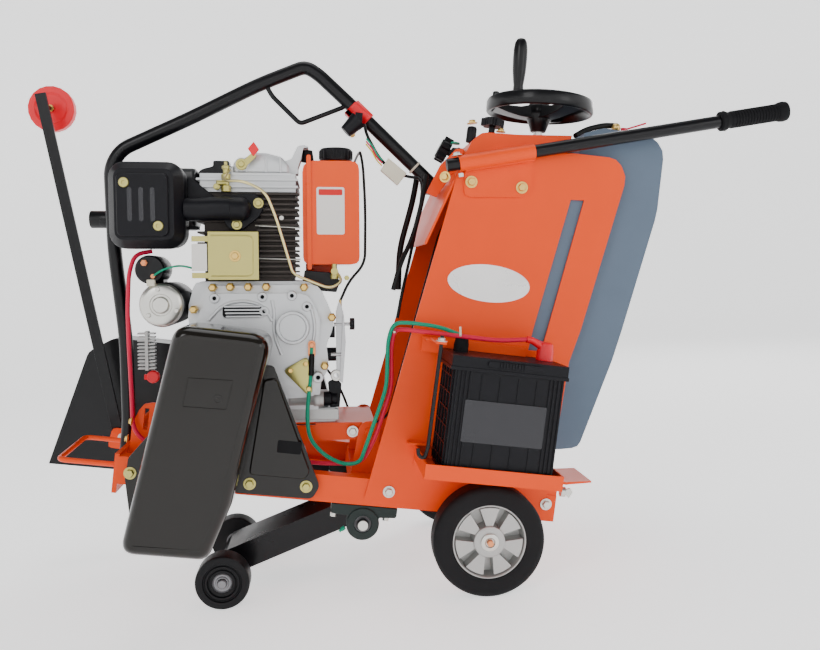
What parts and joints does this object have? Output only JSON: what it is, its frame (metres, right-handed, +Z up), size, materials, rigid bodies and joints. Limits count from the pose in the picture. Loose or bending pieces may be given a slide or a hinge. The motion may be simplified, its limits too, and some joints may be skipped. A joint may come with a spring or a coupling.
{
  "type": "walk-behind concrete saw",
  "caption": "Walk-behind floor saw: diesel engine on a swing-arm chassis with belt and blade guards, steering handles, water tank, battery and depth handwheel.",
  "frame": {"origin": "floor point under the centre of the part's bounding box", "axes": "+X towards the operator at the rear, +Y towards the blade guard side, +Z up from the floor"},
  "size_m": [1.5032, 0.625, 1.0404],
  "materials": {
    "frame_orange": "orange powder coat, satin gloss",
    "cover_orange": "orange powder coat, satin gloss",
    "black_coat": "gloss black powder coat",
    "tank_grey": "moulded grey polyethylene",
    "black_shell": "gloss black moulding",
    "black_plastic": "matt black moulding",
    "red_plastic": "gloss red moulding",
    "cast_aluminium": "as-cast aluminium",
    "turned_aluminium": "die-cast aluminium with machined edge",
    "zinc_steel": "bright zinc plate",
    "steel": "machined steel",
    "dark_iron": "dark green-grey painted cast iron",
    "grey_iron": "machined grey iron",
    "cylinder_dark": "heat-darkened finned casting",
    "shroud_black": "black cooling-fan shroud",
    "tank_enamel": "gloss orange enamel",
    "brass_fitting": "cast brass",
    "rubber_black": "moulded rubber",
    "tyre_black": "solid rubber tyre",
    "polyurethane": "dark moulded polyurethane",
    "cable_green": "green wire insulation",
    "cable_red": "red wire insulation",
    "cable_black": "black wire insulation",
    "pipe_zinc": "yellow zinc plated pipe"
  },
  "bodies": {
    "chassis": {"engine_subframe": "frame_orange", "crankcase": "cast_aluminium", "timing_cover": "cast_aluminium", "cylinder": "cylinder_dark", "cylinder_head": "cast_aluminium", "air_cleaner": "black_plastic", "intake_duct": "black_plastic", "muffler": "black_plastic", "fuel_tank": "tank_enamel", "blower_housing": "shroud_black", "starter_motor": "zinc_steel", "fuel_pipe": "pipe_zinc", "chassis_frame": "frame_orange", "side_panel_left": "cover_orange", "side_panel_right": "cover_orange", "front_cover": "cover_orange", "top_console": "cover_orange", "water_tank": "tank_grey", "water_valve": "brass_fitting", "battery_tray": "frame_orange", "battery_case": "black_plastic", "belt_guard": "black_shell", "bail_tube": "black_coat", "lamp_clamp": "red_plastic", "ground_cable": "cable_green", "starter_cable": "cable_red", "throttle_cable": "cable_black", "lamp_lead": "cable_black", "shaft_bearing_left": "dark_iron", "arm_bearing_left": "dark_iron", "shaft_bearing_right": "dark_iron", "arm_bearing_right": "dark_iron", "drive_belts": "rubber_black"},
    "front_arm": {"front_arm": "black_coat"},
    "front_wheel_left": {"front_wheel_left": "polyurethane"},
    "front_wheel_right": {"front_wheel_right": "polyurethane"},
    "rear_wheel_left": {"rear_rim_left": "turned_aluminium", "rear_tyre_left": "tyre_black"},
    "rear_wheel_right": {"rear_rim_right": "turned_aluminium", "rear_tyre_right": "tyre_black"},
    "handwheel": {"handwheel": "black_plastic", "depth_screw": "zinc_steel"},
    "spinner": {"spinner_grip": "black_plastic"},
    "lift_tube": {"lift_tube": "black_coat"},
    "blade_shaft": {"blade_shaft": "steel", "blade_pulley": "grey_iron", "blade_flange": "steel"},
    "crankshaft": {"engine_pulley": "grey_iron"},
    "blade_guard": {"blade_guard": "black_coat"},
    "lock_knob": {"lock_knob": "black_plastic"},
    "throttle_knob": {"throttle_knob": "black_plastic"},
    "work_lamp": {"work_lamp": "black_plastic"},
    "handle_left": {"handle_left": "black_coat"},
    "handle_right": {"handle_right": "black_coat"},
    "pointer": {"pointer_bar": "black_coat"},
    "pointer_wheel": {"pointer_wheel": "red_plastic"},
    "valve_lever": {"valve_lever": "cable_red"},
    "tank_cap": {"tank_cap": "red_plastic"},
    "fuel_cap": {"fuel_cap": "black_plastic"},
    "decompression_lever": {"decompression_lever": "red_plastic"}
  },
  "joints": [
    {"name": "handwheel_turn", "type": "hinge", "parent": "chassis", "child": "handwheel", "pos_m": [0.33498, 0.0075, 0.82671], "axis": [0.149, 0, 0.9888], "range_deg": [-1500, 5400]},
    {"name": "lift_slide", "type": "slide", "parent": "chassis", "child": "lift_tube", "axis": [0.149, 0, 0.9888], "range_m": [-0.14, 0.036]},
    {"name": "front_arm_lift", "type": "hinge", "parent": "chassis", "child": "front_arm", "pos_m": [-0.09028, 0.0075, 0.1391], "axis": [0, 1, 0], "range_deg": [-6, 24]},
    {"name": "front_wheel_left_spin", "type": "hinge", "parent": "front_arm", "child": "front_wheel_left", "pos_m": [-0.35455, 0.0075, 0.0501], "axis": [0, 1, 0], "continuous": true},
    {"name": "front_wheel_right_spin", "type": "hinge", "parent": "front_arm", "child": "front_wheel_right", "pos_m": [-0.35455, 0.0075, 0.0501], "axis": [0, 1, 0], "continuous": true},
    {"name": "rear_wheel_left_spin", "type": "hinge", "parent": "chassis", "child": "rear_wheel_left", "pos_m": [0.12735, 0.0075, 0.1], "axis": [0, 1, 0], "continuous": true},
    {"name": "rear_wheel_right_spin", "type": "hinge", "parent": "chassis", "child": "rear_wheel_right", "pos_m": [0.12735, 0.0075, 0.1], "axis": [0, 1, 0], "continuous": true},
    {"name": "spinner_spin", "type": "hinge", "parent": "handwheel", "child": "spinner", "pos_m": [0.28459, -0.0615, 0.90843], "axis": [0.149, 0, 0.9888], "continuous": true},
    {"name": "blade_shaft_spin", "type": "hinge", "parent": "chassis", "child": "blade_shaft", "pos_m": [-0.40678, 0.0075, 0.20842], "axis": [0, 1, 0], "continuous": true},
    {"name": "crankshaft_spin", "type": "hinge", "parent": "chassis", "child": "crankshaft", "pos_m": [-0.297, 0.0075, 0.458], "axis": [0, 1, 0], "continuous": true},
    {"name": "blade_guard_tilt", "type": "hinge", "parent": "chassis", "child": "blade_guard", "pos_m": [-0.40678, 0.0075, 0.20842], "axis": [0, 1, 0], "range_deg": [0, 15]},
    {"name": "lock_knob_turn", "type": "hinge", "parent": "chassis", "child": "lock_knob", "pos_m": [0.23055, -0.0325, 0.82601], "axis": [0.2079, 0, 0.9781], "range_deg": [-180, 180]},
    {"name": "throttle_slide", "type": "slide", "parent": "chassis", "child": "throttle_knob", "axis": [-0.8339, 0, 0.5519], "range_m": [0, 0.04]},
    {"name": "lamp_swivel", "type": "hinge", "parent": "chassis", "child": "work_lamp", "pos_m": [-0.0157, 0.0075, 0.8988], "axis": [0, 1, 0], "range_deg": [0, 25]},
    {"name": "handle_left_slide", "type": "slide", "parent": "chassis", "child": "handle_left", "axis": [0.9968, 0, 0.0802], "range_m": [-0.095, 0.02]},
    {"name": "handle_right_slide", "type": "slide", "parent": "chassis", "child": "handle_right", "axis": [0.9968, 0, 0.0802], "range_m": [0, 0.095]},
    {"name": "pointer_swing", "type": "hinge", "parent": "chassis", "child": "pointer", "pos_m": [-0.57978, 0.1575, 0.28915], "axis": [0, 1, 0], "range_deg": [-102, 0]},
    {"name": "pointer_wheel_spin", "type": "hinge", "parent": "pointer", "child": "pointer_wheel", "pos_m": [-0.65309, 0.2185, 0.99277], "axis": [0, 1, 0], "continuous": true},
    {"name": "water_valve_turn", "type": "hinge", "parent": "chassis", "child": "valve_lever", "pos_m": [0.49102, -0.0525, 0.82013], "axis": [0.2079, 0, 0.9781], "range_deg": [0, 90]},
    {"name": "tank_cap_turn", "type": "hinge", "parent": "chassis", "child": "tank_cap", "pos_m": [0.4721, 0.0875, 0.80809], "axis": [0.2079, 0, 0.9781], "range_deg": [-90, 90]},
    {"name": "fuel_cap_turn", "type": "hinge", "parent": "chassis", "child": "fuel_cap", "pos_m": [-0.07138, 0.0075, 0.81098], "axis": [0.0872, 0, 0.9962], "range_deg": [-90, 90]},
    {"name": "decompression_turn", "type": "hinge", "parent": "chassis", "child": "decompression_lever", "pos_m": [-0.24683, -0.0668, 0.80194], "axis": [0, 1, 0], "range_deg": [0, 45]}
  ],
  "couplings": [
    {"joint": "lift_slide", "follows": "handwheel_turn", "m_per_rad": -0.0012732},
    {"joint": "front_arm_lift", "follows": "handwheel_turn", "ratio": 0.003917},
    {"joint": "crankshaft_spin", "follows": "blade_shaft_spin", "ratio": 1}
  ]
}
